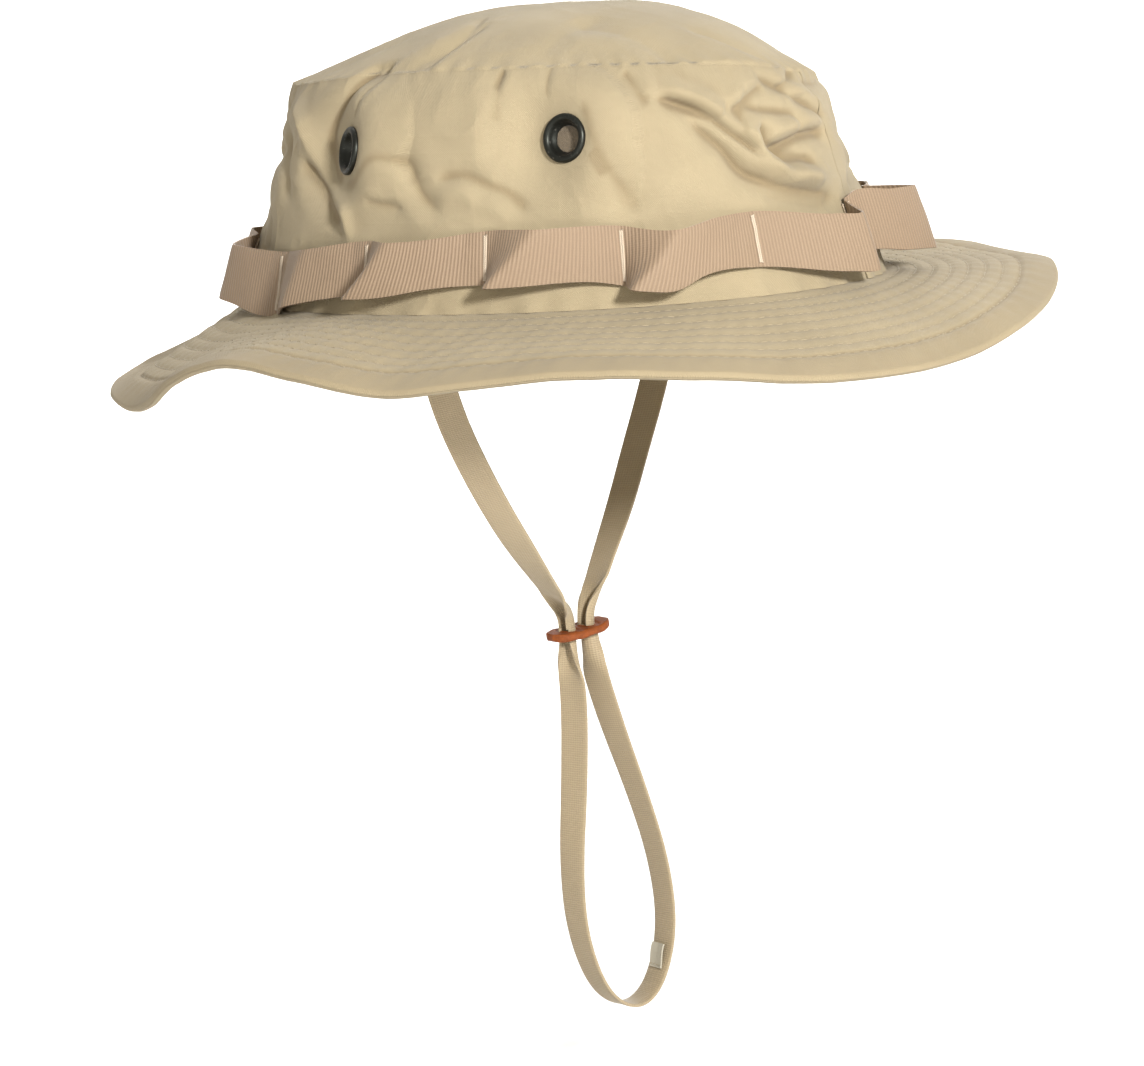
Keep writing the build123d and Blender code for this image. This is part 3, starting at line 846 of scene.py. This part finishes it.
def make_brim_cloth():
    """Upper and lower ply with a turned edge, sewn together in rows."""
    reach, middle, _, cloth = brim_grid(BRIM_COLUMNS, BRIM_ROWS)
    up = -normals(middle, wrap=True)
    relief = row_relief(reach)
    pulled = np.minimum(relief, 0)
    edge = np.clip((reach - (BRIM_W - EDGE_ROUND)) / EDGE_ROUND, 0, 1)
    turned = EDGE_ROUND * (1 - np.sqrt(np.clip(1 - edge**2, 0, 1)))
    # painted shade: the cloth is darker along the hem band and deepest in the sewn rows
    painted_shade = 0.20 * smooth(HEM_LINE, HEM_LINE + 3, reach)
    for k in range(ROWS):
        painted_shade += (0.5 if k == 0 else 0.14) * hump(reach, HEM_LINE - k * ROW_PITCH, 0.7)
    rows = [int(np.abs(reach[:, 0] - (HEM_LINE - k * ROW_PITCH)).argmin()) for k in range(ROWS)]
    for name, top, bottom, level in (
        ("brim_upper", relief - turned, pulled - turned * 0.3 - PLY_T, 1),
        ("brim_lower", turned * 0.3 - pulled - 2 * PLY_T - PLY_GAP, turned - relief - 3 * PLY_T, -1),
    ):
        upper = middle + up * np.maximum(top, bottom + 0.05)[..., None]
        lower = middle + up * bottom[..., None]
        ply = shell(f"{name}_cloth", lower, upper, brim_cloth, cloth, wrap=True, period=BRIM_ROUND,
                    painted_shade=painted_shade)
        rides(ply, "crown_cloth", name)
        face = upper if level > 0 else lower
        sewn = stitches_round(face, up * level, rows, length=2.5, gap=0.8, thick=0.17, lift=0.10)
        sew(f"{name}_stitching", sewn, cloth_thread)


def make_brim_core():
    """Between the brim's cloths: the stiffening ply, and outside it the turned-in hem."""
    reach, middle, up, cloth = brim_grid(CORE_COLUMNS, CORE_ROWS)
    ends = HEM_LINE - 0.6
    for name, low, high, material, slot in (
        ("brim_interlining", -9.0, ends, lining_cloth, "interlining"),
        ("brim_hem", ends + 1.2, BRIM_W - 1.0, brim_cloth, "crown_cloth"),
    ):
        rows = (reach[:, 0] >= low) & (reach[:, 0] <= high)
        upper, lower = ((middle - up * depth)[rows] for depth in (PLY_T + 0.25, 2 * PLY_T - 0.2))
        ply = shell(f"{name}_ply", lower, upper, material, cloth[rows], wrap=True, period=BRIM_ROUND)
        rides(ply, slot, name)


make_brim_cloth()
make_brim_core()


# ---- branch-loop webbing
# Each loop between two tacks, from the first tack clockwise: how far its lower and its upper edge stand
# off, where the crest lies on each (shares of the way, left to right as seen from outside), and how far
# the lower edge slumps to the left.
LOOP_SHAPES = (
    (13.0, 10.5, 0.14, 0.36, 5.0), (11.5, 10.0, 0.15, 0.40, 4.0), (10.0, 8.0, 0.08, 0.26, 5.0),
    (7.5, 5.5, 0.32, 0.42, 1.0), (10.5, 9.5, 0.34, 0.40, 0.5), (7.5, 6.0, 0.50, 0.42, 0.0),
    (8.0, 5.0, 0.22, 0.45, 2.5), (7.5, 4.5, 0.62, 0.38, 1.0), (7.5, 6.5, 0.45, 0.60, 0.0),
    (8.5, 5.0, 0.20, 0.40, 3.0), (7.0, 5.0, 0.58, 0.36, 0.5), (8.0, 6.0, 0.30, 0.56, 2.0),
    (16.6, 15.6, 0.76, 0.72, 0.0), (10.5, 10.0, 0.87, 0.86, 0.0),
)
WEB_LEVEL = 7.0  # height of the band line that the tacks are spaced along
WEB_ALONG, WEB_ACROSS = 44, 17
WEB_EASE = 1.12  # the webbing is longer than the line it is tacked to
LINE_STATION = np.linspace(0, 360, 3601)
LINE_RUN = way(oval(*wall_axes(WEB_LEVEL), LINE_STATION, WEB_LEVEL)[0])
LOOP_RUN = LINE_RUN[-1] / LOOPS


def tack_station(step):
    """Stations at steps clockwise from the first tack."""
    return np.interp((1 - LOOP_FROM - step / LOOPS) % 1, LINE_RUN / LINE_RUN[-1], LINE_STATION)


def loop_shape(along, crest):
    """Height of a loop of stiff webbing along its way: 0 at its tacks, 1 at its crest."""
    left, right = along / crest, (1 - along) / (1 - crest)
    bend = 13.0
    return -np.log(np.exp(-bend * left) + np.exp(-bend * right)) / bend / (1 - np.log(2) / bend)


def make_band():
    """The webbing: one band tacked to the crown 14 times, each loop crushed its own way."""
    step, v = np.meshgrid(np.arange(LOOPS * WEB_ALONG) / WEB_ALONG, np.linspace(0, 1, WEB_ACROSS))
    loop = step.astype(int) % LOOPS
    part = step - step.astype(int)
    along = 1 - part                        # left to right as seen from outside
    low_off, high_off, low_crest, high_crest, slump = np.moveaxis(np.array(LOOP_SHAPES)[loop], -1, 0)
    height = np.clip(loop_shape(along, low_crest + (high_crest - low_crest) * v), 0, None)
    off = 1.0 + height * (low_off + (high_off - low_off) * v**0.8)
    station = tack_station(step + slump * height * (1 - v) ** 1.5 / LOOP_RUN)
    low, high = around(WEB_LOW, station), around(WEB_HIGH, station)
    z = low + (high - low) * v
    crown = crown_side_points(station, z / around(SEAM_HEIGHT, station))
    on_cone, _ = oval(*wall_axes(z), station, z)
    _, out = oval(BASE_A, BASE_B, station, z)
    held = smooth(0.25, 0.0, height)[..., None]
    centre = on_cone * (1 - held) + crown * held + out * (off + WEB_T / 2)[..., None]
    centre = centre + out * (0.22 * rough(centre, 9.0, 4.4))[..., None]
    face = -normals(centre, wrap=True)
    selvedge = 1 - 0.45 * (np.abs(v - 0.5) * 2) ** 6
    near_tack = hump(np.minimum(part, 1 - part) * LOOP_RUN, 0, 2.2)
    thin = (WEB_T / 2 * selvedge * (1 - 0.25 * near_tack))[..., None]
    cloth = np.stack([step * LOOP_RUN * WEB_EASE, v * WEB_W], -1)
    back, front = centre - face * thin, centre + face * thin
    length = LOOPS * LOOP_RUN * WEB_EASE
    band = shell("branch_loop_webbing", back, front, loop_web, cloth, wrap=True, period=length)
    rides(band, "branch_webbing", "branch_loop_band")
    return centre, face


def make_tacks(band, band_face):
    """Bar tacks through the band at every loop's end: a close zigzag of pale thread over a core."""
    parts = []
    rows = np.linspace(1.2, WEB_ACROSS - 2.2, 45)
    swing = np.where(np.arange(len(rows)) % 2, 0.62, -0.62)[:, None]
    for column in range(0, LOOPS * WEB_ALONG, WEB_ALONG):
        spine = on_way(rows, np.arange(WEB_ACROSS), band[:, column])
        front = unit(on_way(rows, np.arange(WEB_ACROSS), band_face[:, column]))
        side = unit(np.cross(front, np.gradient(spine, axis=0)))
        raised = spine + front * (WEB_T / 2 + 0.12)
        parts.append(tube(raised + side * swing + front * 0.10, 0.24, 6, front[0]))
        for shift in (-0.3, 0.3):
            parts.append(tube(raised + side * shift, 0.26, 6, front[0]))
        parts.append(tube(spine - front * (WEB_T / 2 + 0.35), 0.35, 6, front[0]))
    sew("branch_loop_bar_tacks", parts, tack_thread, "branch_loop_tacks")


make_tacks(*make_band())


# ---- vents
EYELET_PROFILE = (
    (7.35, -0.25), (7.55, 0.15), (7.55, 0.75), (7.25, 1.25), (6.75, 1.55), (6.2, 1.52), (5.65, 1.2),
    (5.25, 0.6), (4.9, -0.2), (4.45, -0.9), (4.1, -1.5), (3.95, -2.2), (4.05, -2.6), (4.25, -2.7),
    (4.45, -2.4), (4.6, -1.6), (4.7, -0.6), (5.3, -0.22), (6.4, -0.2),
)
WASHER_PROFILE = (
    (4.8, -1.65), (7.2, -1.65), (7.5, -1.85), (7.4, -2.15), (6.9, -2.32), (5.2, -2.32), (4.84, -2.1),
)
SCREEN_R, WIRE_PITCH, WIRE_R = 4.1, 0.46, 0.15


def revolve(profile, place, sides=72):
    """A ring: a closed profile of (radius, height) turned about a vent's axis."""
    centre, across, above, axis = vent_frame(place)
    r, h = through((*profile, profile[0]), 3 * len(profile))[:-1].T
    ring = across * np.cos(turns(sides)) + above * np.sin(turns(sides))
    points = centre + ring[None] * r[:, None, None] + axis * h[:, None, None]
    index = np.arange(len(r) * sides).reshape(len(r), sides)
    down, right = np.roll(index, -1, 0), np.roll(index, -1, 1)
    return points.reshape(-1, 3), np.stack([index, right, np.roll(down, -1, 1), down], -1).reshape(-1, 4)


def make_vent(place):
    """Eyelet, washer behind it, and a woven wire screen held in the barrel."""
    for part, profile in (("eyelet", EYELET_PROFILE), ("washer", WASHER_PROFILE)):
        ring = add_mesh(f"{part}_{place}", *revolve(profile, place), black_brass)
        rides(ring, "blackened_brass", f"vent_{part}_{place}")
    centre, across, above, axis = vent_frame(place)
    parts = []
    for first, second, phase in ((across, above, 0), (above, across, 1)):
        for k, shift in enumerate(np.arange(-8, 9) * WIRE_PITCH):
            half = (SCREEN_R**2 - shift**2) ** 0.5
            t = np.linspace(-half, half, 37)
            weave = 0.12 * np.cos(pi * t / WIRE_PITCH + pi * (k + phase))
            line = centre + first * t[:, None] + second * shift + axis * (weave[:, None] - 1.75)
            parts.append(tube(line, WIRE_R, 5, axis))
    screen = add_mesh(f"screen_{place}", *join(parts), wire_metal)
    rides(screen, "screen_wire", f"vent_screen_{place}")


for place in VENTS:
    make_vent(place)


# ---- inside: sweatband and label
def make_sweatband():
    """Folded tape sewn inside the crown's foot, a little wavy along its free upper edge."""
    station, share = np.meshgrid(stations(360), np.linspace(0, 1, 22))
    z = 0.3 + share * (SWEATBAND_H - 0.5)
    wall, out = oval(*wall_axes(z), station, z)
    inset = 1.95 + 0.22 * share * (1.0 + ripple(station, 24.0, 2))
    outer = wall - out * inset[..., None]
    bead = 0.25 * (hump(share, 0.97, 0.03) - 0.8 * hump(share, 0.9, 0.02) - 0.8 * hump(share, 0.12, 0.02))
    inner = outer - out * (SWEATBAND_T * 0.85 + bead)[..., None]
    cloth = np.stack([share * SWEATBAND_H - SWEATBAND_H / 2, np.radians(station) * 92.0], -1)
    band = shell("sweatband_tape", outer, inner, band_cloth, cloth, wrap=True)
    rides(band, "sweatband_tape", "sweatband")
    sewn = stitches_round(inner, -out, (3, 19), length=3.0, gap=1.0, thick=0.17)
    sew("sweatband_stitching", sewn, cloth_thread)


def on_sweatband(node, middle, half, inset, columns, rows):
    """A patch that curves with the sweatband, as high as its CAD node: stations from its middle,
    heights, points and outward directions."""
    low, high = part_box(node)
    station, z = np.meshgrid(np.linspace(-half, half, columns), np.linspace(low.z, high.z, rows) / MM)
    return station, z, *oval(*wall_axes(z, inset), middle + station, z)


def make_care_label():
    """A blank label that curves with the sweatband, sewn at its two ends."""
    station, z, outer, out = on_sweatband("care_label", 180, 8.2, 4.3, 30, 22)
    outer[..., 0] += 0.25 * np.sin((z - z.min()) / (z.max() - z.min()) * pi)
    inner = outer - out * 0.4
    label = shell("blank_care_label", outer, inner, label_cloth, np.stack([station * 1.7, z], -1))
    rides(label, "label_cloth", "care_label")
    sewn = [stitches(inner[row], -out[row], length=1.8, gap=0.6, thick=0.14) for row in (2, 19)]
    sew("care_label_stitching", sewn, cloth_thread)


make_sweatband()
make_care_label()


# ---- chin strap
TAPE_SIDES = 17  # points across each face of the tape
LOOP_WIDE = np.array([sin(SLIDER_HEADING), -cos(SLIDER_HEADING), 0])
# How far the loop's width is turned, in degrees, for shares of its way.
LOOP_TURN = ((0, 12), (0.08, 24), (0.2, 23), (0.34, 8), (0.5, 0), (0.62, 4), (0.78, 10), (0.92, 22), (1, 14))


def metres(point):
    return tuple(c * MM for c in point)


def spline_points(name, route):
    """The smooth line of a route: a NURBS spline whose control points are the route's."""
    curve = bpy.data.curves.new(name, "CURVE")
    curve.dimensions = "3D"
    curve.resolution_u = 14
    spline = curve.splines.new("NURBS")
    spline.points.add(len(route) - 1)
    for point, place in zip(spline.points, route):
        point.co = (*metres(place), 1.0)
    spline.order_u = 3
    spline.use_endpoint_u = True
    holder = link(bpy.data.objects.new(name, curve))
    line = bpy.data.meshes.new_from_object(holder)
    points = np.array([v.co for v in line.vertices]) / MM
    bpy.data.objects.remove(holder)
    bpy.data.meshes.remove(line)
    bpy.data.curves.remove(curve)
    return points


def tape(name, route, wide, pinch, replaced):
    """A flat woven tape along a route. wide and pinch give its width's direction and how far it is
    folded lengthwise, from 0, flat, to 1, for each share of its way."""
    line = spline_points(name, route)
    run = way(line)
    fine = np.linspace(0, run[-1], int(run[-1] / 1.1))
    line = on_way(fine, run, line)
    share = fine / run[-1]
    along = unit(np.gradient(line, axis=0))
    width_dir = wide(share)
    width_dir = unit(width_dir - (width_dir * along).sum(-1, keepdims=True) * along)
    face = np.cross(along, width_dir)
    u = np.linspace(-1, 1, TAPE_SIDES)
    bend = np.clip(pinch(share), 1e-3, None)[:, None] * radians(290)
    swing = u * bend / 2
    x = STRAP_W / bend * np.sin(swing)
    y = STRAP_W / bend * (1 - np.cos(swing))
    soft = 0.18 * np.sin(fine / 21.0 + 1.0)[:, None] * (u**2 - 0.4)
    y = y - y.mean(1, keepdims=True) + soft
    thick = STRAP_T / 2 * (1 - 0.35 * np.abs(u) ** 8)
    upper, lower = (line[:, None] + width_dir[:, None] * (x - half * np.sin(swing))[..., None]
                    + face[:, None] * (y + half * np.cos(swing))[..., None] for half in (thick, -thick))
    piece = shell(name, lower, upper, strap_web, np.stack(np.meshgrid(u * STRAP_W / 2, fine), -1))
    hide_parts(replaced)
    return piece, line * MM, run[-1] * MM


def turned(base, degrees):
    """A level direction turned about the vertical, for each angle."""
    angle = np.radians(degrees)
    x = base[0] * np.cos(angle) - base[1] * np.sin(angle)
    y = base[0] * np.sin(angle) + base[1] * np.cos(angle)
    return np.stack([x, y, 0 * angle], -1)


def upper_wide(first_turn):
    """Direction of an upper strand's width: along the hat at the top, then as the loop's."""
    def direction(share):
        turn = smooth(0.62, 0.97, share)[:, None]
        sway = 0.18 * np.sin(share * 5.0)[:, None] * (1 - turn)
        start = turned((1.0, 0), first_turn * smooth(0.02, 0.25, share))
        return unit(start * (1 - turn) + LOOP_WIDE * turn + np.array([0, 1.0, 0]) * sway)
    return direction


def upper_pinch(fold):
    """How far an upper strand is folded: flat, then by fold where it enters the slider."""
    return lambda share: 0.02 + fold * smooth(0.86, 0.985, share) + 0.22 * smooth(0.04, 0.0, share)


def loop_wide(share):
    """Direction of the loop's width: the limp tape turns a little along its way."""
    turn = np.interp(share, *np.array(LOOP_TURN).T)
    turn = np.convolve(np.pad(turn, 12, mode="edge"), np.ones(25) / 25, mode="valid")
    return turned(LOOP_WIDE, turn)


def loop_pinch(share):
    """How far the loop is folded: most where its two ends leave the slider."""
    return 0.02 + 0.85 * smooth(0.075, 0.01, share) + 0.80 * smooth(0.93, 0.99, share)


right = tape("strap_right_strand", ROUTE_RIGHT, upper_wide(16), upper_pinch(0.85), "strap_upper_right")
left = tape("strap_left_strand", ROUTE_LEFT, upper_wide(4), upper_pinch(0.80), "strap_upper_left")
loop = tape("strap_long_loop", ROUTE_LOOP, loop_wide, loop_pinch, "strap_loop")
for (piece, _, _), route in ((right, ROUTE_RIGHT), (left, ROUTE_LEFT)):
    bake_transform(piece)
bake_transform(loop[0])


def make_strap_end(side, station):
    """The strap's sewn end: tape laid on the sweatband and sewn in a box with a cross."""
    half = STRAP_W / 2 / 84 / pi * 180
    s, z, outer, out = on_sweatband(f"strap_end_{side}", station, half, 3.55, 15, 30)
    inner = outer - out * STRAP_T * 0.95
    cloth = np.stack([s / half * STRAP_W / 2, z], -1)
    piece = shell(f"strap_sewn_end_{side}", outer, inner, strap_web, cloth)
    rides(piece, "strap_tape", f"strap_end_{side}")
    box = ((2, 2), (2, 12), (24, 12), (24, 2), (2, 2), (24, 12), (24, 2), (2, 12))
    above = -np.tile(out[13, 7], (40, 1))
    sewn = [stitches(np.linspace(inner[start], inner[end], 40), above, 1.8, 0.6, 0.16)
            for start, end in zip(box, box[1:])]
    sew(f"strap_end_stitching_{side}", sewn, tack_thread)


make_strap_end("right", -93.0)
make_strap_end("left", 93.0)


# ---- slider
SLIDER_L, SLIDER_D, SLIDER_T = 22.2, 13.0, 2.6
SLIDER_BOW = 0.7  # its ends curl up
HOLE_L, HOLE_D = 3.4, 6.6


def in_hole(x, y, spare=0.0):
    """For each of the slider's holes, how far out points are: 1 is spare past the hole's edge."""
    half_l, half_d = HOLE_L / 2 + spare, HOLE_D / 2 + spare
    return [((x - at) / half_l) ** 2 + (y / half_d) ** 2 for at in (-SLOT, SLOT)]


def make_slider():
    """Leather tab with two holes: a rounded, bowed plate with burnished edges."""
    half_l, half_d = SLIDER_L / 2, SLIDER_D / 2
    y, x = np.meshgrid(np.linspace(-1, 1, 57), np.linspace(-1, 1, 97), indexing="ij")
    px = x * half_l
    reach = np.clip(np.abs(px) - (half_l - half_d), 0, half_d - 1e-6)
    py = y * np.maximum(np.sqrt(half_d**2 - reach**2), 1.4)
    edge = np.minimum(1 - np.abs(y), (1 - np.abs(x)) * 1.8)
    level = SLIDER_T / 2 * (1 - 0.55 * (1 - np.clip(edge / 0.13, 0, 1)) ** 2)
    level = level - 0.35 * sum(hump(d, 1, 0.4) for d in in_hole(px, py, 1.1))
    bow = SLIDER_BOW * (px / half_l) ** 2 + 0.12 * np.sin(px * 0.9)
    keep = np.min(in_hole(*((p[:-1, :-1] + p[1:, 1:]) / 2 for p in (px, py))), axis=0) > 1
    along, side = (turned((1.0, 0), SLIDER_HEADING / pi * 180 + turn) for turn in (0, 90))
    tilt = radians(7.0)
    lean = along * cos(tilt) + RISE * sin(tilt)
    up = RISE * cos(tilt) - along * sin(tilt)
    centre = np.array([0, SLIDER_Y, SLIDER_TOP - 1.6])
    flat = centre + px[..., None] * lean + py[..., None] * side
    top, bottom = flat + (bow + level)[..., None] * up, flat + (bow - level)[..., None] * up
    piece = shell("leather_slider", top, bottom, slider_leather, keep=keep)
    return rides(piece, "slider_leather", "strap_slider", body="slider")


# ---- tag
TAG_DROP = 2.2  # it has slid down the strand a little


def make_tag():
    """A small blank cloth tag, folded over the inner edge of the loop's far strand."""
    low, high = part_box("strap_tag")
    run = unit(np.array(ROUTE_LOOP[10]) - ROUTE_LOOP[9])
    centre = np.array((low + high) / 2) / MM - run * TAG_DROP
    inward = unit(np.cross(LOOP_WIDE, run))
    u, v = np.meshgrid(np.linspace(-4.0, 4.0, 24), np.linspace(-3.0, 3.0, 18))
    lift = 0.35 * np.sin(u * 0.5 + 0.6) + 0.12 * v * v / 4
    points = centre + u[..., None] * run + v[..., None] * LOOP_WIDE + lift[..., None] * inward
    face = points + inward * 0.3
    piece = shell("blank_tag", points - inward * 0.3, face, tag_cloth, np.stack([u, v], -1))
    rides(piece, "tag_cloth", "strap_tag", body="strap")
    sewn = [stitches(face[:, 3], np.broadcast_to(inward, face[:, 3].shape), 1.2, 0.4, 0.12)]
    sew("tag_stitching", sewn, cloth_thread, body="strap")
    return piece


# ---- slider and tag
slider = make_slider()
tag = make_tag()


# ---- stage and light
FLOOR_Z, BEND_R, FLOOR_END, WALL_TOP = -262.0, 1200.0, 2600.0, 4200.0


def make_stage():
    """A pale floor below the strap that curves up into a backdrop."""
    m = Material("pale_floor")
    material = m.finish(m.shades(m.mottle(3.0), (1, 1, 1), (0.3, 0.90), (0.7, 0.93)), 0.9)
    across = np.linspace(-4000, 4000, 5)
    turn = np.linspace(0, pi / 2, 13)
    away = np.array([-FLOOR_END, *(FLOOR_END + BEND_R * np.sin(turn)), FLOOR_END + BEND_R])
    height = np.array([FLOOR_Z, *(FLOOR_Z + BEND_R * (1 - np.cos(turn))), WALL_TOP])
    side, view = (turned((1.0, 0), 27.0 + quarter) for quarter in (0, 90))
    points = view * away[:, None, None] + side * across[None, :, None] + RISE * height[:, None, None]
    faces = grid_quads(len(away), len(across)).reshape(-1, 4)
    add_mesh("floor", points.reshape(-1, 3), faces, material)


def add_light(name, place, aim, size, power):
    data = bpy.data.lights.new(name, "AREA")
    data.shape = "DISK"
    data.size = size
    data.energy = power
    lamp = link(bpy.data.objects.new(name, data))
    lamp.location = place
    lamp.rotation_euler = (Vector(aim) - Vector(place)).to_track_quat("-Z", "Y").to_euler()


def make_lights():
    """Key from the front right of the camera, a broad fill, a light from behind, and a white room."""
    add_light("key", (1.58, -1.29, 0.70), (0, 0, 0.0), 0.32, 64)
    add_light("fill", (-0.1, -1.9, -0.35), (0, 0, -0.06), 1.0, 7)
    add_light("back", (-0.6, 1.6, 1.5), (0, 0, 0), 1.4, 4)
    add_light("backdrop", (-0.6, 1.2, 2.4), (-1.3, 3.4, 0.9), 1.6, 160)
    world = bpy.data.worlds.new("room")
    world.use_nodes = True
    light = world.node_tree.nodes["Background"].inputs
    light[0].default_value = (1, 0.965, 0.90, 1)
    light[1].default_value = 0.58
    bpy.context.scene.world = world


make_stage()
make_lights()
